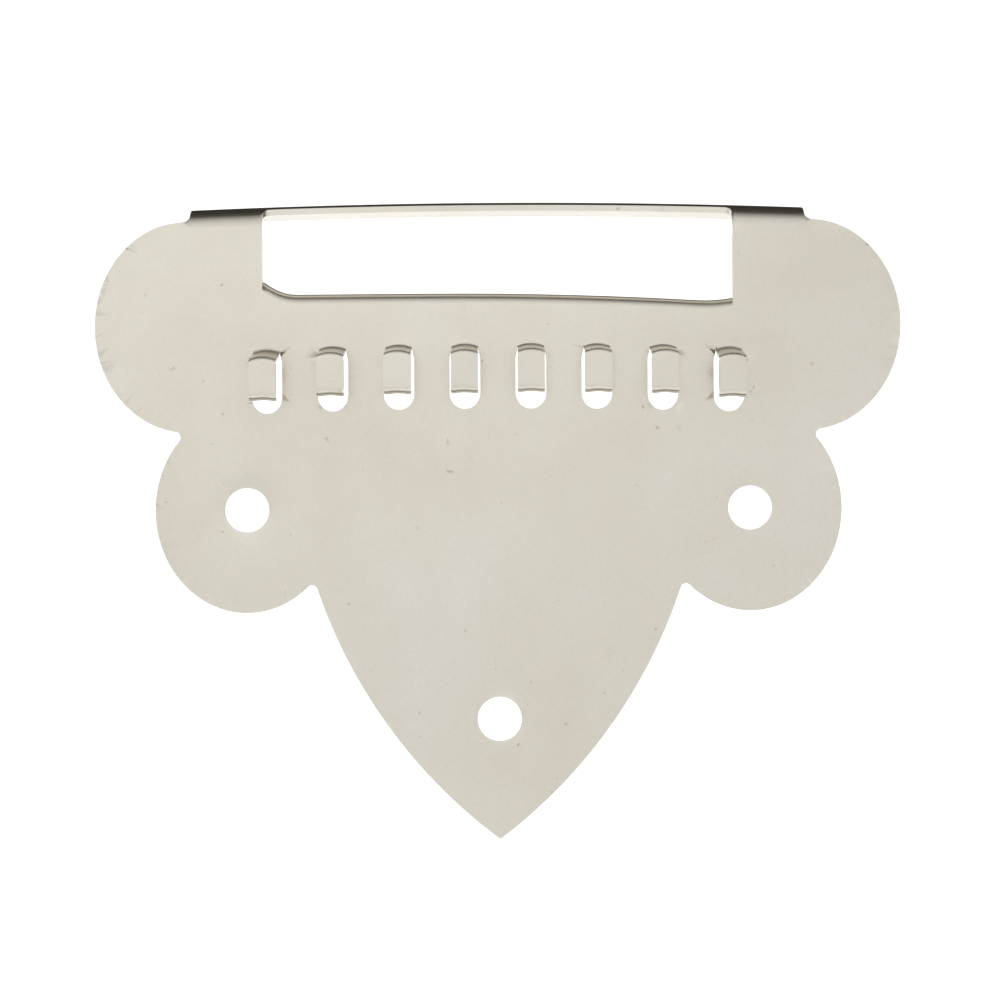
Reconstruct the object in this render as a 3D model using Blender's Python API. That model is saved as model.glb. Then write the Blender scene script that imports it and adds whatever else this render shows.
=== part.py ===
"""Mandolin tailpiece: one stamping of nickel-plated sheet steel.

Frame: metres, +Z up. The plate stands upright as on the instrument's tail end,
its show face looks along -Y and its back face lies in the plane Y = 0. X = 0 is
the plane of symmetry, and Z = 0 is the line through the two side screw holes.
The sheet is laid out flat as (x, s), cut, then folded along its bend lines.
"""
import math

import bpy
import bmesh
from mathutils import Vector
from mathutils.geometry import delaunay_2d_cdt

for old in list(bpy.data.objects):
    bpy.data.objects.remove(old, do_unlink=True)

MM = 0.001

# ---- sheet --------------------------------------------------------------
SHEET = 0.50            # thickness, mm

# ---- outline ------------------------------------------------------------
UPPER_LOBE = (24.65, 14.58, 7.38, 8.40)    # centre x, centre z, radius x, radius z
LOWER_LOBE = (20.00, 0.00, 7.27, 8.17)
POINT_ARC = (-24.67, 6.81, 41.25)          # centre x, centre z, radius of the right side
NOTCH_R = 0.45                             # inner corners between the lobes

# ---- screw holes --------------------------------------------------------
SCREW_R = 1.75
SCREWS = ((-20.0, 0.0), (20.0, 0.0), (0.0, -16.70))

# ---- top flange ---------------------------------------------------------
BEND_R = 2.00           # outer radius of the fold
TOP_Z = 24.13           # crest height at the flange's ends
TOP_ARCH = 0.49         # the crest is this much higher at the middle
FLANGE_HALF = 24.50
FLANGE_DEPTH = 6.00     # from the show face to the flange's rear edge
FLANGE_CORNER = 0.90
CORNER_R = 0.60         # inner corner between a lobe and the flange's side edge

# ---- window and its rolled lip -----------------------------------------
WINDOW_HALF = 18.70
WINDOW_CORNER = 0.60
WINDOW_CUT_DEG = 57.0   # the upper edge is cut at this angle round the fold
LIP_R = 1.00            # outer radius of the lip's fold
LIP_TOP_Z = 17.20
LIP_ARCH = 0.25
LIP_STRAIGHT = 0.80

# ---- string hooks -------------------------------------------------------
HOOKS = 8
PITCH = 5.25
HOOK_ARCH = 0.31        # the row's ends sit this much lower
SLOT_HALF = 1.22
SLOT_BOTTOM_Z = 8.03
TAB_HALF = 1.06
ROOT_Z = 13.30
ROOT_R = 0.30
RISE_DEG = 78.0
RISE = 1.89
SHOULDER_R = 0.40
PAD = 2.42
CURL_R = 0.50
CURL_DEG = 80.0
CURL_END = 0.20


# ---- curves -------------------------------------------------------------
def ellipse_point(e, t):
    return (e[0] + e[2] * math.cos(t), e[1] + e[3] * math.sin(t))


def ellipse_normal(e, t):
    nx, nz = math.cos(t) / e[2], math.sin(t) / e[3]
    n = math.hypot(nx, nz)
    return (nx / n, nz / n)


def nearest_on_ellipse(e, p):
    """Angle of the ellipse's point nearest to p."""
    best = min(range(720), key=lambda k: math.dist(p, ellipse_point(e, k * math.pi / 360)))
    t, step = best * math.pi / 360, math.pi / 360
    while step > 1e-9:
        t = min((t - step, t, t + step), key=lambda u: math.dist(p, ellipse_point(e, u)))
        step *= 0.5
    return t


def outside_point_arc(p):
    return math.hypot(p[0] - POINT_ARC[0], p[1] - POINT_ARC[1]) - POINT_ARC[2]


def outside_lower(p):
    t = nearest_on_ellipse(LOWER_LOBE, p)
    return math.dist(p, ellipse_point(LOWER_LOBE, t))


def inner_corner(e, lo, hi, distance):
    """Centre of the fillet that touches the ellipse e from outside, and on which distance() equals the fillet's radius. lo and hi are angles on e with the answer between them: the fillet clears the other curve at lo and cuts it at hi."""
    for _ in range(60):
        t = (lo + hi) / 2
        p, n = ellipse_point(e, t), ellipse_normal(e, t)
        c = (p[0] + NOTCH_R * n[0], p[1] + NOTCH_R * n[1])
        if distance(c) > NOTCH_R:
            lo = t
        else:
            hi = t
    return t, c


def arc(cx, cz, rx, rz, a0, a1, n):
    """n + 1 points from angle a0 to angle a1."""
    return [(cx + rx * math.cos(a0 + (a1 - a0) * k / n), cz + rz * math.sin(a0 + (a1 - a0) * k / n)) for k in range(n + 1)]


def angle(centre, p):
    return math.atan2(p[1] - centre[1], p[0] - centre[0])


def bend_start(x):
    """Height at which the sheet starts to fold back into the flange."""
    return TOP_Z - BEND_R + TOP_ARCH * max(0.0, 1 - (x / FLANGE_HALF) ** 2)


FOLD = BEND_R * math.pi / 2
FLANGE_FLAT = FLANGE_DEPTH - BEND_R


def right_outline():
    """From the tip at the bottom to the middle of the flange's rear edge, in the flat layout."""
    tip = (0.0, POINT_ARC[1] - math.sqrt(POINT_ARC[2] ** 2 - POINT_ARC[0] ** 2))
    # corner between the point and the lower lobe
    t2, c2 = inner_corner(LOWER_LOBE, math.radians(250), math.radians(205), outside_point_arc)
    # corner between the two lobes
    t1, c1 = inner_corner(UPPER_LOBE, math.radians(-30), math.radians(-95), outside_lower)
    u1 = nearest_on_ellipse(LOWER_LOBE, c1)
    pts = arc(POINT_ARC[0], POINT_ARC[1], POINT_ARC[2], POINT_ARC[2],
              angle(POINT_ARC, tip), angle(POINT_ARC, c2), 22)
    a0 = angle(c2, POINT_ARC[:2])
    a1 = angle(c2, ellipse_point(LOWER_LOBE, t2))
    pts += arc(c2[0], c2[1], NOTCH_R, NOTCH_R, a0 % (2 * math.pi), a1 % (2 * math.pi) - (2 * math.pi if a1 % (2 * math.pi) > a0 % (2 * math.pi) else 0), 8)[1:]
    pts += [ellipse_point(LOWER_LOBE, t2 + (u1 + 2 * math.pi * (u1 < t2) - t2) * k / 44) for k in range(1, 45)]
    a0 = angle(c1, ellipse_point(LOWER_LOBE, u1)) % (2 * math.pi)
    a1 = angle(c1, ellipse_point(UPPER_LOBE, t1)) % (2 * math.pi)
    pts += arc(c1[0], c1[1], NOTCH_R, NOTCH_R, a0, a1 - (2 * math.pi if a1 > a0 else 0), 8)[1:]
    # upper lobe, round to the corner beside the flange
    cx = FLANGE_HALF + CORNER_R
    top = math.acos((cx - UPPER_LOBE[0]) / UPPER_LOBE[2])
    pts += [ellipse_point(UPPER_LOBE, t1 + (top - t1) * k / 44) for k in range(1, 45)]
    cz = pts[-1][1] + CORNER_R
    pts += arc(cx, cz, CORNER_R, CORNER_R, -math.pi / 2, -math.pi, 5)[1:]
    # side edge and rear edge of the flange
    end = bend_start(FLANGE_HALF) + FOLD + FLANGE_FLAT
    for row in flange_rows():
        s = bend_start(FLANGE_HALF) + row
        if pts[-1][1] + 0.15 < s < end - FLANGE_CORNER - 0.1:
            pts.append((FLANGE_HALF, s))
    pts += arc(FLANGE_HALF - FLANGE_CORNER, end - FLANGE_CORNER, FLANGE_CORNER, FLANGE_CORNER, 0.0, math.pi / 2, 5)
    for k in range(1, 13):
        x = (FLANGE_HALF - FLANGE_CORNER) * (1 - k / 12)
        pts.append((x, bend_start(x) + FOLD + FLANGE_FLAT))
    return pts


def flange_rows():
    """Distances past the start of the fold at which the layout has a line of points."""
    return [FOLD * k / 7 for k in range(8)] + [FOLD + FLANGE_FLAT * 0.5]


def mirrored(half):
    """The closed outline of both halves. half starts and ends on x = 0."""
    left = [(-x, s) for x, s in reversed(half)]
    return half + left[1:-1]


def hook_x(i):
    return (i - (HOOKS - 1) / 2) * PITCH


def hook_drop(x):
    return HOOK_ARCH * (x / hook_x(HOOKS - 1)) ** 2


def slot(x):
    """A hook's opening: the top edge is the hook's root, and the bottom is round."""
    dz = -hook_drop(x)
    top, bottom = ROOT_Z + dz, SLOT_BOTTOM_Z + dz + SLOT_HALF
    pts = [(x - TAB_HALF + 2 * TAB_HALF * k / 4, top) for k in range(5)]
    pts += [(x + SLOT_HALF, top - 0.18), (x + SLOT_HALF, (top + bottom) / 2)]
    pts += [(x + u, z) for u, z in arc(0, bottom, SLOT_HALF, SLOT_HALF, 0, -math.pi, 12)]
    pts += [(x - SLOT_HALF, (top + bottom) / 2), (x - SLOT_HALF, top - 0.18)]
    return pts


def lip_start(x):
    return LIP_TOP_Z - LIP_R - LIP_ARCH * (x / WINDOW_HALF) ** 2


def window_cut(x):
    return bend_start(x) + BEND_R * math.radians(WINDOW_CUT_DEG)


LIP_STEPS = 18


def window():
    w, r = WINDOW_HALF, WINDOW_CORNER
    pts = [(-w + 2 * w * k / LIP_STEPS, lip_start(-w + 2 * w * k / LIP_STEPS)) for k in range(LIP_STEPS + 1)]
    pts += [(w, (lip_start(w) + bend_start(w)) / 2), (w, bend_start(w))]
    pts += [(w - r + u, window_cut(w) - r + z) for u, z in arc(0, 0, r, r, 0, math.pi / 2, 4)]
    pts += [((w - r) * (1 - k / 8), window_cut((w - r) * (1 - k / 8))) for k in range(1, 16)]
    pts += [(-w + r + u, window_cut(w) - r + z) for u, z in arc(0, 0, r, r, math.pi / 2, math.pi, 4)]
    pts += [(-w, bend_start(w)), (-w, (lip_start(w) + bend_start(w)) / 2)]
    return pts


def inside(poly, p):
    hit = False
    for (x0, z0), (x1, z1) in zip(poly, poly[1:] + poly[:1]):
        if (z0 > p[1]) != (z1 > p[1]) and p[0] < x0 + (p[1] - z0) * (x1 - x0) / (z1 - z0):
            hit = not hit
    return hit


# ---- folding ------------------------------------------------------------
def folded(x, s):
    """The show face's point for the flat layout's (x, s), in millimetres."""
    past = s - bend_start(x)
    if past <= 0:
        return Vector((x, -SHEET, s))
    a = min(past / BEND_R, math.pi / 2)
    back = max(0.0, past - FOLD)
    return Vector((x, -SHEET + BEND_R * (1 - math.cos(a)) + back, bend_start(x) + BEND_R * math.sin(a)))


def run(steps, y, z):
    """Points of a path made of ('arc', radius, from, to) and ('line', length, heading), headings in degrees from straight down towards the front."""
    pts = []
    for kind, *rest in steps:
        if kind == 'line':
            length, head = rest
            a = math.radians(head)
            y, z = y - math.sin(a) * length, z - math.cos(a) * length
            pts.append((y, z))
        else:
            radius, a0, a1, n = rest
            for k in range(n):
                b = math.radians(a0 + (a1 - a0) * (k + 0.5) / n)
                step = 2 * radius * math.sin(math.radians(abs(a1 - a0)) / n / 2)
                y, z = y - math.sin(b) * step, z - math.cos(b) * step
                pts.append((y, z))
    return pts


HOOK_PATH = run((
    ('arc', ROOT_R, 0, RISE_DEG, 4),
    ('line', RISE / 2, RISE_DEG), ('line', RISE / 2, RISE_DEG),
    ('arc', SHOULDER_R, RISE_DEG, 0, 5),
    ('line', PAD / 2, 0), ('line', PAD / 2, 0),
    ('arc', CURL_R, 0, -CURL_DEG, 6),
    ('line', CURL_END, -CURL_DEG),
), 0.0, 0.0)


def stretch(bm, edges, place):
    """Extrudes a row of edges and moves each new point to place(old point)."""
    out = bmesh.ops.extrude_edge_only(bm, edges=edges)
    new = [g for g in out['geom'] if isinstance(g, bmesh.types.BMVert)]
    for v in new:
        v.co = place(v.co)
    return [g for g in out['geom'] if isinstance(g, bmesh.types.BMEdge) and all(v in new for v in g.verts)]


def sheet_mesh():
    outline = mirrored(right_outline())
    holes = [window()] + [slot(hook_x(i)) for i in range(HOOKS)]
    holes += [[(x + u, z + w) for u, w in arc(0, 0, SCREW_R, SCREW_R, 0, 2 * math.pi, 32)[:-1]] for x, z in SCREWS]

    points, edges = [], []

    def polyline(pts, close):
        base = len(points)
        points.extend(Vector(p) for p in pts)
        n = len(pts)
        edges.extend((base + k, base + (k + 1) % n) for k in range(n if close else n - 1))

    for ring in [outline] + holes:
        polyline(ring, True)
    # lines of points across the fold, left out where the window is
    for row in flange_rows():
        whole = row > BEND_R * math.radians(WINDOW_CUT_DEG) + 0.05
        spans = [(-24.2, 24.2, 24)] if whole else [(-24.2, -19.2, 3), (19.2, 24.2, 3)]
        for lo, hi, n in spans:
            xs = [lo + (hi - lo) * k / n for k in range(n + 1)]
            polyline([(x, bend_start(x) + row) for x in xs], False)

    co, _, tris, *_ = delaunay_2d_cdt(points, edges, [], 0, 1e-5)
    bm = bmesh.new()
    verts = [bm.verts.new((p[0], p[1], 0)) for p in co]
    for tri in tris:
        m = [sum(co[i][k] for i in tri) / 3 for k in (0, 1)]
        if inside(outline, m) and not any(inside(h, m) for h in holes):
            bm.faces.new([verts[i] for i in tri])
    bmesh.ops.delete(bm, geom=[v for v in bm.verts if not v.link_faces], context='VERTS')
    flat = {v: (v.co.x, v.co.y) for v in bm.verts}
    for v, (x, s) in flat.items():
        v.co = folded(x, s)
    bmesh.ops.recalc_face_normals(bm, faces=bm.faces)
    if sum(f.normal.y * f.calc_area() for f in bm.faces) > 0:
        bmesh.ops.reverse_faces(bm, faces=bm.faces)

    def border(test):
        return [e for e in bm.edges if e.is_boundary and all(v in flat and test(*flat[v]) for v in e.verts)]

    # lip along the window's lower edge, folded back
    row = border(lambda x, s: abs(x) < WINDOW_HALF + 0.01 and abs(s - lip_start(x)) < 1e-4)
    steps = 6
    for k in range(steps):
        a0, a1 = (math.pi / 2 * j / steps for j in (k, k + 1))
        dy, dz = LIP_R * (math.cos(a0) - math.cos(a1)), LIP_R * (math.sin(a1) - math.sin(a0))
        row = stretch(bm, row, lambda p: p + Vector((0, dy, dz)))
    stretch(bm, row, lambda p: p + Vector((0, LIP_STRAIGHT, 0)))

    # hooks, each drawn from the top edge of its slot
    for i in range(HOOKS):
        x = hook_x(i)
        top = ROOT_Z - hook_drop(x)
        row = border(lambda u, s: abs(u - x) < TAB_HALF + 0.01 and abs(s - top) < 1e-4)
        y, z = 0.0, 0.0
        for k, (py, pz) in enumerate(HOOK_PATH):
            left = len(HOOK_PATH) - 1 - k
            # the end is rounded like the slot's bottom
            half = TAB_HALF * (1.0, 1.0, 0.99, 0.96, 0.90, 0.82, 0.72, 0.64)[max(0, 7 - left)]
            last = TAB_HALF if k == 0 else width
            row = stretch(bm, row, lambda p: Vector((x + (p.x - x) * half / last, p.y + py - y, p.z + pz - z)))
            y, z, width = py, pz, half

    bmesh.ops.scale(bm, vec=(MM, MM, MM), verts=bm.verts)
    mesh = bpy.data.meshes.new('tailpiece_plate')
    bm.to_mesh(mesh)
    bm.free()
    return mesh


plate = bpy.data.objects.new('tailpiece_plate', sheet_mesh())
bpy.context.scene.collection.objects.link(plate)

gauge = plate.modifiers.new('Sheet thickness', 'SOLIDIFY')
gauge.thickness = SHEET * MM
gauge.offset = -1.0
gauge.use_even_offset = True
gauge.use_quality_normals = True

plate.data.shade_smooth()
plate.data.set_sharp_from_angle(angle=math.radians(32))

nickel = bpy.data.materials.new('nickel_plate')
nickel.use_nodes = True
shader = nickel.node_tree.nodes['Principled BSDF']
shader.inputs['Base Color'].default_value = (0.70, 0.66, 0.58, 1.0)
shader.inputs['Metallic'].default_value = 1.0
shader.inputs['Roughness'].default_value = 0.32
plate.data.materials.append(nickel)
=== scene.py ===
import math

import bpy
import bmesh
import numpy as np
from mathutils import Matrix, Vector
from mathutils.geometry import delaunay_2d_cdt


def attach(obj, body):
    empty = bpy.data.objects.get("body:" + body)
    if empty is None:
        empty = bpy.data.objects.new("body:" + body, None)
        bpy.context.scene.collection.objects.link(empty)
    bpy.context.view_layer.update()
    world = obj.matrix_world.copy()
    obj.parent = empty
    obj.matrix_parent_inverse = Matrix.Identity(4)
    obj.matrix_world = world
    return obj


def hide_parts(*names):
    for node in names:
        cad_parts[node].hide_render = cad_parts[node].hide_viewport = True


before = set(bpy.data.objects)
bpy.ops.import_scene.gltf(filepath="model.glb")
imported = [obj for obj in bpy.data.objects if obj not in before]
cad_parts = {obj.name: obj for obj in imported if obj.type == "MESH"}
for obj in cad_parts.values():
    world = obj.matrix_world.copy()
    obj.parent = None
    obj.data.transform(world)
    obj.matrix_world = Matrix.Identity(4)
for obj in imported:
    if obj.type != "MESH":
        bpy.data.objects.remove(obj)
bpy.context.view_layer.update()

scene = bpy.context.scene
MM = 0.001


# ---- materials ----------------------------------------------------------
def nickel_material():
    """Satin nickel plating: fine grain, faint polishing lines, cloudy tone, small scratches and specks."""
    m = bpy.data.materials.new('nickel_plate')
    m.use_nodes = True
    t = m.node_tree
    link = t.links.new
    bsdf = t.nodes['Principled BSDF']
    bsdf.inputs['Metallic'].default_value = 1.0
    pos = t.nodes.new('ShaderNodeTexCoord').outputs['Object']

    def noise(scale, detail=2.0, rough=0.5, stretch=(1, 1, 1), offset=(0, 0, 0), turn=0.0):
        mp = t.nodes.new('ShaderNodeMapping')
        mp.inputs['Scale'].default_value = stretch
        mp.inputs['Location'].default_value = offset
        mp.inputs['Rotation'].default_value = (0, turn, 0)
        link(pos, mp.inputs['Vector'])
        n = t.nodes.new('ShaderNodeTexNoise')
        n.inputs['Scale'].default_value = scale
        n.inputs['Detail'].default_value = detail
        n.inputs['Roughness'].default_value = rough
        link(mp.outputs['Vector'], n.inputs['Vector'])
        return n.outputs['Fac']

    def ramp(value, stops):
        r = t.nodes.new('ShaderNodeValToRGB')
        r.color_ramp.interpolation = 'LINEAR'
        while len(r.color_ramp.elements) < len(stops):
            r.color_ramp.elements.new(0.5)
        for e, (p, c) in zip(r.color_ramp.elements, stops):
            e.position = p
            e.color = (*c, 1) if isinstance(c, tuple) else (c, c, c, 1)
        link(value, r.inputs['Fac'])
        return r.outputs['Color']

    def mix(kind, fac, a, b):
        x = t.nodes.new('ShaderNodeMix')
        x.data_type = 'RGBA'
        x.blend_type = kind
        for sock, v in ((x.inputs[0], fac), (x.inputs[6], a), (x.inputs[7], b)):
            if isinstance(v, (int, float)):
                sock.default_value = v
            elif isinstance(v, tuple):
                sock.default_value = (*v, 1)
            else:
                link(v, sock)
        return x.outputs[2]

    cloud = noise(60.0, 3.0, 0.6)
    base = ramp(cloud, ((0.30, (0.700, 0.655, 0.575)), (0.52, (0.735, 0.694, 0.615)), (0.75, (0.760, 0.725, 0.655))))
    grain = ramp(noise(5200.0, 3.0, 0.65), ((0.30, 0.90), (0.70, 1.0)))
    base = mix('MULTIPLY', 0.55, base, grain)
    # faint specks of plating wear
    specks = ramp(noise(900.0, 2.0, 0.6, offset=(3, 1, 2)), ((0.72, 0.0), (0.78, 1.0)))
    base = mix('MIX', specks, base, (0.52, 0.47, 0.38))
    link(base, bsdf.inputs['Base Color'])

    # roughness: fine grain, cloudy wear and hair scratches
    line_a = noise(420.0, 2.0, 0.5, stretch=(0.06, 1, 1.6), turn=0.22)
    line_b = noise(380.0, 2.0, 0.5, stretch=(1.7, 1, 0.05), offset=(5, 0, 2), turn=-0.35)
    lines = mix('LIGHTEN', 1.0, ramp(line_a, ((0.66, 0.0), (0.74, 1.0))), ramp(line_b, ((0.68, 0.0), (0.76, 1.0))))
    rough = ramp(cloud, ((0.30, 0.33), (0.70, 0.27)))
    rough = mix('ADD', 1.0, rough, mix('MULTIPLY', 1.0, lines, (0.10, 0.10, 0.10)))
    link(rough, bsdf.inputs['Roughness'])

    bump = t.nodes.new('ShaderNodeBump')
    bump.inputs['Strength'].default_value = 0.22
    bump.inputs['Distance'].default_value = 0.00003
    height = mix('ADD', 1.0, mix('MULTIPLY', 1.0, noise(4200.0, 3.0, 0.7), (0.6, 0.6, 0.6)), mix('MULTIPLY', 1.0, lines, (-0.4, -0.4, -0.4)))
    link(height, bump.inputs['Height'])
    link(bump.outputs['Normal'], bsdf.inputs['Normal'])
    return m


# ---- sheet --------------------------------------------------------------
SHEET = 0.50            # thickness, mm

# ---- outline ------------------------------------------------------------
UPPER_LOBE = (24.65, 14.58, 7.38, 8.40)    # centre x, centre z, radius x, radius z
LOWER_LOBE = (20.00, 0.00, 7.27, 8.17)
POINT_ARC = (-24.67, 6.81, 41.25)          # centre x, centre z, radius of the right side
NOTCH_R = 0.45                             # inner corners between the lobes

# ---- screw holes --------------------------------------------------------
SCREW_R = 1.75
SCREWS = ((-20.0, 0.0), (20.0, 0.0), (0.0, -16.70))

# ---- top flange ---------------------------------------------------------
BEND_R = 2.00           # outer radius of the fold
TOP_Z = 24.13           # crest height at the flange's ends
TOP_ARCH = 0.49         # the crest is this much higher at the middle
FLANGE_HALF = 24.50
FLANGE_DEPTH = 6.00     # from the show face to the flange's rear edge
FLANGE_CORNER = 0.90
CORNER_R = 0.60         # inner corner between a lobe and the flange's side edge

# ---- window and its rolled lip -----------------------------------------
WINDOW_HALF = 18.70
WINDOW_CORNER = 0.60
WINDOW_CUT_DEG = 57.0   # the upper edge is cut at this angle round the fold
LIP_R = 1.00            # outer radius of the lip's fold
LIP_TOP_Z = 17.20
LIP_ARCH = 0.25
LIP_STRAIGHT = 0.80

# ---- string hooks -------------------------------------------------------
HOOKS = 8
PITCH = 5.25
HOOK_ARCH = 0.31        # the row's ends sit this much lower
SLOT_HALF = 1.22
SLOT_BOTTOM_Z = 8.03
TAB_HALF = 1.06
ROOT_Z = 13.30
ROOT_R = 0.30
RISE_DEG = 78.0
RISE = 1.89
SHOULDER_R = 0.40
PAD = 2.42
CURL_R = 0.50
CURL_DEG = 80.0
CURL_END = 0.20


# ---- curves -------------------------------------------------------------
def ellipse_point(e, t):
    return (e[0] + e[2] * math.cos(t), e[1] + e[3] * math.sin(t))


def ellipse_normal(e, t):
    nx, nz = math.cos(t) / e[2], math.sin(t) / e[3]
    n = math.hypot(nx, nz)
    return (nx / n, nz / n)


def nearest_on_ellipse(e, p):
    """Angle of the ellipse's point nearest to p."""
    best = min(range(720), key=lambda k: math.dist(p, ellipse_point(e, k * math.pi / 360)))
    t, step = best * math.pi / 360, math.pi / 360
    while step > 1e-9:
        t = min((t - step, t, t + step), key=lambda u: math.dist(p, ellipse_point(e, u)))
        step *= 0.5
    return t


def outside_point_arc(p):
    return math.hypot(p[0] - POINT_ARC[0], p[1] - POINT_ARC[1]) - POINT_ARC[2]


def outside_lower(p):
    t = nearest_on_ellipse(LOWER_LOBE, p)
    return math.dist(p, ellipse_point(LOWER_LOBE, t))


def inner_corner(e, lo, hi, distance):
    """Centre of the fillet that touches the ellipse e from outside, and on which distance() equals the fillet's radius. lo and hi are angles on e with the answer between them: the fillet clears the other curve at lo and cuts it at hi."""
    for _ in range(60):
        t = (lo + hi) / 2
        p, n = ellipse_point(e, t), ellipse_normal(e, t)
        c = (p[0] + NOTCH_R * n[0], p[1] + NOTCH_R * n[1])
        if distance(c) > NOTCH_R:
            lo = t
        else:
            hi = t
    return t, c


def arc(cx, cz, rx, rz, a0, a1, n):
    """n + 1 points from angle a0 to angle a1."""
    return [(cx + rx * math.cos(a0 + (a1 - a0) * k / n), cz + rz * math.sin(a0 + (a1 - a0) * k / n)) for k in range(n + 1)]


def angle(centre, p):
    return math.atan2(p[1] - centre[1], p[0] - centre[0])


def bend_start(x):
    """Height at which the sheet starts to fold back into the flange."""
    return TOP_Z - BEND_R + TOP_ARCH * max(0.0, 1 - (x / FLANGE_HALF) ** 2)


FOLD = BEND_R * math.pi / 2
FLANGE_FLAT = FLANGE_DEPTH - BEND_R


def right_outline():
    """From the tip at the bottom to the middle of the flange's rear edge, in the flat layout."""
    tip = (0.0, POINT_ARC[1] - math.sqrt(POINT_ARC[2] ** 2 - POINT_ARC[0] ** 2))
    # corner between the point and the lower lobe
    t2, c2 = inner_corner(LOWER_LOBE, math.radians(250), math.radians(205), outside_point_arc)
    # corner between the two lobes
    t1, c1 = inner_corner(UPPER_LOBE, math.radians(-30), math.radians(-95), outside_lower)
    u1 = nearest_on_ellipse(LOWER_LOBE, c1)
    pts = arc(POINT_ARC[0], POINT_ARC[1], POINT_ARC[2], POINT_ARC[2],
              angle(POINT_ARC, tip), angle(POINT_ARC, c2), 90)
    a0 = angle(c2, POINT_ARC[:2])
    a1 = angle(c2, ellipse_point(LOWER_LOBE, t2))
    pts += arc(c2[0], c2[1], NOTCH_R, NOTCH_R, a0 % (2 * math.pi), a1 % (2 * math.pi) - (2 * math.pi if a1 % (2 * math.pi) > a0 % (2 * math.pi) else 0), 14)[1:]
    pts += [ellipse_point(LOWER_LOBE, t2 + (u1 + 2 * math.pi * (u1 < t2) - t2) * k / 180) for k in range(1, 181)]
    a0 = angle(c1, ellipse_point(LOWER_LOBE, u1)) % (2 * math.pi)
    a1 = angle(c1, ellipse_point(UPPER_LOBE, t1)) % (2 * math.pi)
    pts += arc(c1[0], c1[1], NOTCH_R, NOTCH_R, a0, a1 - (2 * math.pi if a1 > a0 else 0), 14)[1:]
    # upper lobe, round to the corner beside the flange
    cx = FLANGE_HALF + CORNER_R
    top = math.acos((cx - UPPER_LOBE[0]) / UPPER_LOBE[2])
    pts += [ellipse_point(UPPER_LOBE, t1 + (top - t1) * k / 180) for k in range(1, 181)]
    cz = pts[-1][1] + CORNER_R
    pts += arc(cx, cz, CORNER_R, CORNER_R, -math.pi / 2, -math.pi, 5)[1:]
    # side edge and rear edge of the flange
    end = bend_start(FLANGE_HALF) + FOLD + FLANGE_FLAT
    for row in flange_rows():
        s = bend_start(FLANGE_HALF) + row
        if pts[-1][1] + 0.05 < s < end - FLANGE_CORNER - 0.1:
            pts.append((FLANGE_HALF, s))
    pts += arc(FLANGE_HALF - FLANGE_CORNER, end - FLANGE_CORNER, FLANGE_CORNER, FLANGE_CORNER, 0.0, math.pi / 2, 12)
    for k in range(1, 41):
        x = (FLANGE_HALF - FLANGE_CORNER) * (1 - k / 40)
        pts.append((x, bend_start(x) + FOLD + FLANGE_FLAT))
    return pts


def flange_rows():
    """Distances past the start of the fold at which the layout has a line of points."""
    return [FOLD * k / 20 for k in range(21)] + [FOLD + FLANGE_FLAT * k / 4 for k in (1, 2, 3)]


def mirrored(half):
    """The closed outline of both halves. half starts and ends on x = 0."""
    left = [(-x, s) for x, s in reversed(half)]
    return half + left[1:-1]


def hook_x(i):
    return (i - (HOOKS - 1) / 2) * PITCH


def hook_drop(x):
    return HOOK_ARCH * (x / hook_x(HOOKS - 1)) ** 2


def root_drop(u):
    """The hook's root is a low dome: its ends sit lower than its middle."""
    return 0.22 * u * u


ACROSS = 10


def slot(x):
    """A hook's opening. The top edge is the hook's root, the gap beside the hook opens lower down, and the bottom is round."""
    dz = -hook_drop(x)
    top, bottom = ROOT_Z + dz, SLOT_BOTTOM_Z + dz + SLOT_HALF
    pts = []
    for k in range(ACROSS + 1):
        u = -1 + 2 * k / ACROSS
        pts.append((x + u * TAB_HALF, top - root_drop(u)))
    side = [(TAB_HALF + (SLOT_HALF - TAB_HALF) * (0.5 - 0.5 * math.cos(math.pi * k / 6)), top - 0.42 - 0.16 * k) for k in range(7)]
    side += [(SLOT_HALF, side[-1][1] + (bottom - side[-1][1]) * k / 6) for k in range(1, 6)]
    pts += [(x + a, z) for a, z in side]
    pts += [(x + u, z) for u, z in arc(0, bottom, SLOT_HALF, SLOT_HALF * 1.04, 0, -math.pi, 36)]
    pts += [(x - a, z) for a, z in reversed(side)]
    return pts


def lip_top(x):
    """The lip's crest as it came off the tool: it runs a little downhill to the right, and its ends stay up where the sheet didn't fold fully."""
    z = 17.24 - (0.0015 if x > -4.6 else 0.0002) * (x + 4.6) ** 2
    if x < -16.0:
        z += 1.05 * ((-16.0 - x) / 2.7) ** 2
    if x > 16.0:
        z += 0.34 * ((x - 16.0) / 2.7) ** 2
    return z


def lip_start(x):
    return lip_top(x) - LIP_R


def window_cut(x):
    return bend_start(x) + BEND_R * math.radians(WINDOW_CUT_DEG)


LIP_STEPS = 84


def window():
    w, r = WINDOW_HALF, WINDOW_CORNER
    pts = [(-w + 2 * w * k / LIP_STEPS, lip_start(-w + 2 * w * k / LIP_STEPS)) for k in range(LIP_STEPS + 1)]
    pts += [(w, lip_start(w) + (bend_start(w) - lip_start(w)) * k / 8) for k in range(1, 9)]
    pts += [(w - r + u, window_cut(w) - r + z) for u, z in arc(0, 0, r, r, 0, math.pi / 2, 10)]
    pts += [((w - r) * (1 - k / 30), window_cut((w - r) * (1 - k / 30))) for k in range(1, 60)]
    pts += [(-w + r + u, window_cut(w) - r + z) for u, z in arc(0, 0, r, r, math.pi / 2, math.pi, 10)]
    pts += [(-w, lip_start(-w) + (bend_start(w) - lip_start(-w)) * k / 8) for k in range(8, 0, -1)]
    return pts


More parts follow.
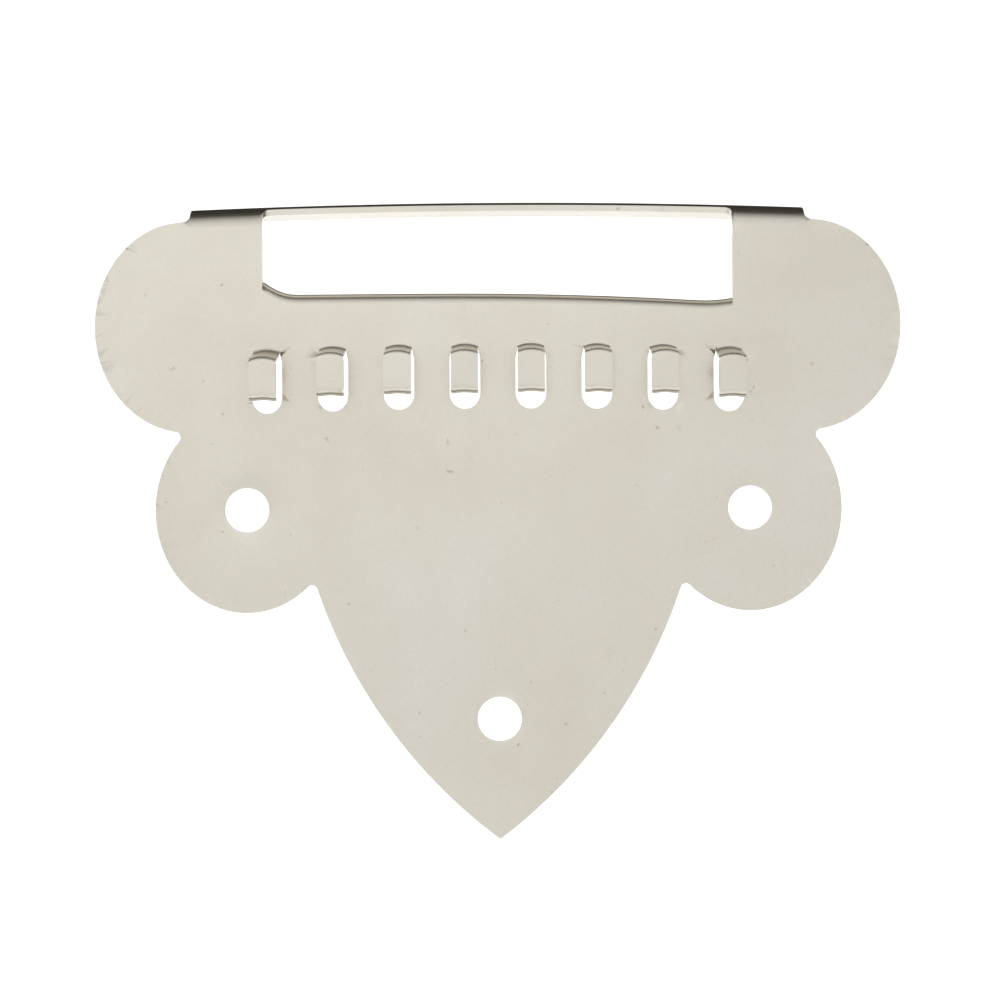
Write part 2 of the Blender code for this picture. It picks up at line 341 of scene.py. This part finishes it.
def inside(poly, p):
    hit = False
    for (x0, z0), (x1, z1) in zip(poly, poly[1:] + poly[:1]):
        if (z0 > p[1]) != (z1 > p[1]) and p[0] < x0 + (p[1] - z0) * (x1 - x0) / (z1 - z0):
            hit = not hit
    return hit


# how deep each screw hole's rim is pressed in, mm, and the side that it is deepest on, degrees
DISHES = (0.16, 55.0), (0.03, 120.0), (0.15, 35.0)


def dish(x, s):
    """How far the sheet is pressed in round the screw holes."""
    deep = 0.0
    for (cx, cz), (amount, side) in zip(SCREWS, DISHES):
        r = math.hypot(x - cx, s - cz)
        if r < 4.5:
            turn = math.cos(math.atan2(s - cz, x - cx) - math.radians(side))
            deep += amount * (0.45 + 0.55 * max(0.0, turn)) * math.exp(-max(0.0, r - SCREW_R) / 0.55)
    return deep


def folded(x, s):
    """The show face's point for the flat layout's (x, s), in millimetres."""
    past = s - bend_start(x)
    if past <= 0:
        return Vector((x, -SHEET + dish(x, s), s))
    a = min(past / BEND_R, math.pi / 2)
    back = max(0.0, past - FOLD)
    return Vector((x, -SHEET + BEND_R * (1 - math.cos(a)) + back, bend_start(x) + BEND_R * math.sin(a)))


def hook_column(u, lean):
    """The path of one strip of a hook, from its root to its curled end, as (sideways, y, z) steps. Strips near the sides are shorter, which rounds the end like the slot's bottom."""
    y, z, out = 0.0, 0.0, []

    def go(head, step):
        nonlocal y, z
        a = math.radians(head)
        y, z = y - math.sin(a) * step, z - math.cos(a) * step
        out.append((lean * -y, y, z))

    def bend(radius, a0, a1, n):
        for k in range(n):
            go(a0 + (a1 - a0) * (k + 0.5) / n, 2 * radius * math.sin(math.radians(abs(a1 - a0)) / n / 2))

    bend(ROOT_R, 0, RISE_DEG, 7)
    for _ in range(4):
        go(RISE_DEG, RISE / 4)
    bend(SHOULDER_R, RISE_DEG, 0, 9)
    pad = PAD + 0.10 + root_drop(u) - 0.60 * (1 - math.sqrt(1 - (0.94 * u) ** 2))
    for _ in range(8):
        go(0, pad / 8)
    bend(CURL_R, 0, -CURL_DEG, 10)
    go(-CURL_DEG, CURL_END)
    return out


def stretch(bm, edges, place):
    """Extrudes a row of edges and moves each new point to place(old point)."""
    out = bmesh.ops.extrude_edge_only(bm, edges=edges)
    new = [g for g in out['geom'] if isinstance(g, bmesh.types.BMVert)]
    for v in new:
        v.co = place(v.co)
    made = set(new)
    return [g for g in out['geom'] if isinstance(g, bmesh.types.BMEdge) and all(v in made for v in g.verts)]


# small differences from hook to hook: how far each leans outwards, and how low its pad sits, mm
HOOK_LEAN = (-0.035, -0.012, 0.004, 0.004, 0.0, 0.004, 0.002, 0.012)
HOOK_LOW = (0.22, 0.02, 0.0, 0.0, -0.08, -0.08, -0.08, 0.10)


def sheet_mesh():
    outline = mirrored(right_outline())
    rings = [window()] + [slot(hook_x(i)) for i in range(HOOKS)]
    rings += [[(x + u, z + w) for u, w in arc(0, 0, SCREW_R, SCREW_R, 0, 2 * math.pi, 72)[:-1]] for x, z in SCREWS]
    points, edges = [], []

    def polyline(pts, close):
        base = len(points)
        points.extend(Vector(p) for p in pts)
        n = len(pts)
        edges.extend((base + k, base + (k + 1) % n) for k in range(n if close else n - 1))

    for ring in [outline] + rings:
        polyline(ring, True)
    for x, z in SCREWS:
        for r in (1.9, 2.1, 2.35, 2.65, 3.1, 3.7):
            polyline([(x + u, z + w) for u, w in arc(0, 0, r, r, 0, 2 * math.pi, 60)[:-1]], True)
    for row in flange_rows():
        whole = row > BEND_R * math.radians(WINDOW_CUT_DEG) + 0.02
        spans = [(-24.3, 24.3, 72)] if whole else [(-24.3, -18.9, 8), (18.9, 24.3, 8)]
        for lo, hi, n in spans:
            xs = [lo + (hi - lo) * k / n for k in range(n + 1)]
            polyline([(x, bend_start(x) + row) for x in xs], False)
    # points spread over the flat face, clear of every edge
    edge_points = np.array([p[:] for p in points])
    for i in range(-27, 28):
        for j in range(-22, 19):
            p = (i * 1.2 + 0.6 * (j % 2), j * 1.2)
            if np.hypot(*(edge_points - p).T).min() > 0.55 and inside(outline, p):
                points.append(Vector(p))

    co, _, tris, *_ = delaunay_2d_cdt(points, edges, [], 0, 1e-6)
    boxes = [(min(p[0] for p in r), max(p[0] for p in r), min(p[1] for p in r), max(p[1] for p in r), r) for r in rings]
    bm = bmesh.new()
    verts = [bm.verts.new((p[0], p[1], 0)) for p in co]
    for tri in tris:
        m = [sum(co[i][k] for i in tri) / 3 for k in (0, 1)]
        if any(b[0] < m[0] < b[1] and b[2] < m[1] < b[3] and inside(b[4], m) for b in boxes) or not inside(outline, m):
            continue
        bm.faces.new([verts[i] for i in tri])
    bmesh.ops.delete(bm, geom=[v for v in bm.verts if not v.link_faces], context='VERTS')
    flat = {v: (v.co.x, v.co.y) for v in bm.verts}
    for v, (x, s) in flat.items():
        v.co = folded(x, s)
    bmesh.ops.recalc_face_normals(bm, faces=bm.faces)
    if sum(f.normal.y * f.calc_area() for f in bm.faces) > 0:
        bmesh.ops.reverse_faces(bm, faces=bm.faces)

    def border(test):
        return [e for e in bm.edges if e.is_boundary and all(v in flat and test(*flat[v]) for v in e.verts)]

    row = border(lambda x, s: abs(x) < WINDOW_HALF + 0.01 and abs(s - lip_start(x)) < 1e-3)
    steps = 14
    for k in range(steps):
        a0, a1 = (math.pi / 2 * j / steps for j in (k, k + 1))
        dy, dz = LIP_R * (math.cos(a0) - math.cos(a1)), LIP_R * (math.sin(a1) - math.sin(a0))
        row = stretch(bm, row, lambda p: p + Vector((0, dy, dz)))
    for _ in range(2):
        row = stretch(bm, row, lambda p: p + Vector((0, LIP_STRAIGHT / 2, 0)))

    for i in range(HOOKS):
        x = hook_x(i)
        top = ROOT_Z - hook_drop(x)
        row = border(lambda u, s: abs(u - x) < TAB_HALF + 0.01 and abs(s - top + root_drop((u - x) / TAB_HALF)) < 1e-3)
        columns = {}
        for k in range(len(hook_column(0, 0))):
            n = len(hook_column(0, 0))

            def place(p):
                u = p.x - x
                # the strip keeps its own place across the hook all the way down
                key = min(range(ACROSS + 1), key=lambda c: abs(p.x - here.get(c, x + (-1 + 2 * c / ACROSS) * TAB_HALF)))
                u = -1 + 2 * key / ACROSS
                side, y, z = columns.setdefault(key, hook_column(u, HOOK_LEAN[i]))[k]
                low = HOOK_LOW[i] * min(1.0, k / 12)
                new[key] = x + u * TAB_HALF + side
                return Vector((new[key], -SHEET + y, top - root_drop(u) + z - low))
            here = new if k else {}
            new = {}
            row = stretch(bm, row, place)

    bmesh.ops.scale(bm, vec=(MM, MM, MM), verts=bm.verts)
    mesh = bpy.data.meshes.new('stamped_plate')
    bm.to_mesh(mesh)
    bm.free()
    return mesh


nickel = nickel_material()
plate = bpy.data.objects.new('stamped_plate', sheet_mesh())
scene.collection.objects.link(plate)
plate.data.shade_smooth()
plate.data.materials.append(nickel)
gauge = plate.modifiers.new('Sheet thickness', 'SOLIDIFY')
gauge.thickness = SHEET * MM
gauge.offset = -1.0
gauge.use_even_offset = True
gauge.use_quality_normals = True
edge = plate.modifiers.new('Worn edges', 'BEVEL')
edge.width = 0.07 * MM
edge.segments = 3
edge.limit_method = 'ANGLE'
edge.angle_limit = math.radians(50)
edge.harden_normals = True
smooth = plate.modifiers.new('Even shading', 'WEIGHTED_NORMAL')
smooth.keep_sharp = False
smooth.weight = 100
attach(plate, "root")
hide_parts("tailpiece_plate")


# ---- stage --------------------------------------------------------------
def emitting(name, colour, strength):
    m = bpy.data.materials.new(name)
    m.use_nodes = True
    t = m.node_tree
    t.nodes.clear()
    out = t.nodes.new('ShaderNodeOutputMaterial')
    e = t.nodes.new('ShaderNodeEmission')
    e.inputs['Color'].default_value = (*colour, 1)
    e.inputs['Strength'].default_value = strength
    t.links.new(e.outputs[0], out.inputs[0])
    return m


def sweep():
    """A round pale floor whose rim curves up into a low wall on all sides."""
    bm = bmesh.new()
    profile = [(0.0, -0.075), (0.45, -0.075)]
    profile += [(0.45 + 0.35 * math.sin(a * math.pi / 24), -0.075 + 0.35 * (1 - math.cos(a * math.pi / 24))) for a in range(1, 13)]
    profile += [(0.80, 1.2)]
    rings = []
    for r, z in profile:
        if r == 0:
            rings.append([bm.verts.new((0, 0, z))] * 97)
        else:
            ring = [bm.verts.new((r * math.cos(k * math.pi / 48), r * math.sin(k * math.pi / 48), z)) for k in range(96)]
            rings.append(ring + ring[:1])
    for a, b in zip(rings, rings[1:]):
        for k in range(96):
            vs = [a[k], b[k], b[k + 1], a[k + 1]]
            bm.faces.new([v for j, v in enumerate(vs) if v not in vs[:j]])
    me = bpy.data.meshes.new('floor')
    bmesh.ops.recalc_face_normals(bm, faces=bm.faces)
    bm.to_mesh(me)
    bm.free()
    me.shade_smooth()
    ob = bpy.data.objects.new('floor', me)
    scene.collection.objects.link(ob)
    m = bpy.data.materials.new('floor')
    m.use_nodes = True
    b = m.node_tree.nodes['Principled BSDF']
    b.inputs['Base Color'].default_value = (0.40, 0.40, 0.395, 1)
    b.inputs['Roughness'].default_value = 0.9
    b.inputs['Emission Color'].default_value = (1, 1, 1, 1)
    # painted light: the floor's own emission ramps up, so the side behind the object glows brighter than the side in
    # front of it
    t = m.node_tree
    where = t.nodes.new('ShaderNodeTexCoord')
    split = t.nodes.new('ShaderNodeSeparateXYZ')
    floor_glow_painted_light = t.nodes.new('ShaderNodeMapRange')
    floor_glow_painted_light.interpolation_type = 'SMOOTHSTEP'
    floor_glow_painted_light.inputs['From Min'].default_value = -0.30
    floor_glow_painted_light.inputs['From Max'].default_value = 0.10
    floor_glow_painted_light.inputs['To Min'].default_value = 0.49
    floor_glow_painted_light.inputs['To Max'].default_value = 0.86
    t.links.new(where.outputs['Object'], split.inputs[0])
    t.links.new(split.outputs['Y'], floor_glow_painted_light.inputs['Value'])
    t.links.new(floor_glow_painted_light.outputs['Result'], b.inputs['Emission Strength'])
    me.materials.append(m)
    return ob


sweep()


def area(name, place, aim, size, power, size_y=None):
    d = bpy.data.lights.new(name, 'AREA')
    d.energy = power
    d.size = size
    if size_y:
        d.shape = 'RECTANGLE'
        d.size_y = size_y
    ob = bpy.data.objects.new(name, d)
    ob.location = place
    ob.rotation_euler = (Vector(aim) - Vector(place)).to_track_quat('-Z', 'Y').to_euler()
    scene.collection.objects.link(ob)
    return ob




def flag(name, corners):
    """A black card just outside the picture: it is seen only in reflections."""
    me = bpy.data.meshes.new(name)
    me.from_pydata(corners, [], [(0, 1, 2, 3)])
    me.materials.append(emitting(name, (0.018, 0.015, 0.010), 1.0))
    ob = bpy.data.objects.new(name, me)
    scene.collection.objects.link(ob)
    ob.visible_camera = ob.visible_diffuse = ob.visible_shadow = ob.visible_transmission = False


flag('flag_top', [(-0.5, -0.02, 0.10), (0.5, -0.02, 0.10), (0.5, 0.55, 0.16), (-0.5, 0.55, 0.16)])
flag('flag_below', [(-0.5, -0.02, -0.07), (0.5, -0.02, -0.07), (0.5, 0.5, -0.14), (-0.5, 0.5, -0.14)])
flag('flag_right', [(0.12, 0.0, -0.2), (0.12, 0.0, 0.2), (0.22, 0.5, 0.3), (0.22, 0.5, -0.3)])
area('front', (-0.10, -0.60, 0.16), (0, 0, 0), 0.40, 0.10)

world = bpy.data.worlds.new('studio')
world.use_nodes = True
world.node_tree.nodes['Background'].inputs['Color'].default_value = (1, 1, 1, 1)
world.node_tree.nodes['Background'].inputs['Strength'].default_value = 0.45
scene.world = world
scene.view_settings.view_transform = 'Standard'
scene.view_settings.look = 'None'

# ---- camera -------------------------------------------------------------
PX = 1 / 12.58 * MM      # one pixel of the photograph on the show face
DIST = 0.150
cam_data = bpy.data.cameras.new('camera')
cam_data.sensor_width = 36.0
cam_data.lens = 36.0 * DIST / (1000 * PX)
cam_data.clip_start = 0.01
cam_data.clip_end = 10
cam = bpy.data.objects.new('camera', cam_data)
scene.collection.objects.link(cam)
roll = math.radians(0.3226)
# the photograph's middle, in the plate's own turned axes
dx, dz = (500 - 498.63) * PX, (508.9 - 500) * PX
cx = dx * math.cos(roll) + dz * math.sin(roll)
cz = -dx * math.sin(roll) + dz * math.cos(roll)
cam.location = (cx, -0.0005 - DIST, cz)
cam.rotation_euler = (math.pi / 2, 0, 0)
cam.rotation_euler.rotate_axis('Z', -roll)
scene.camera = cam
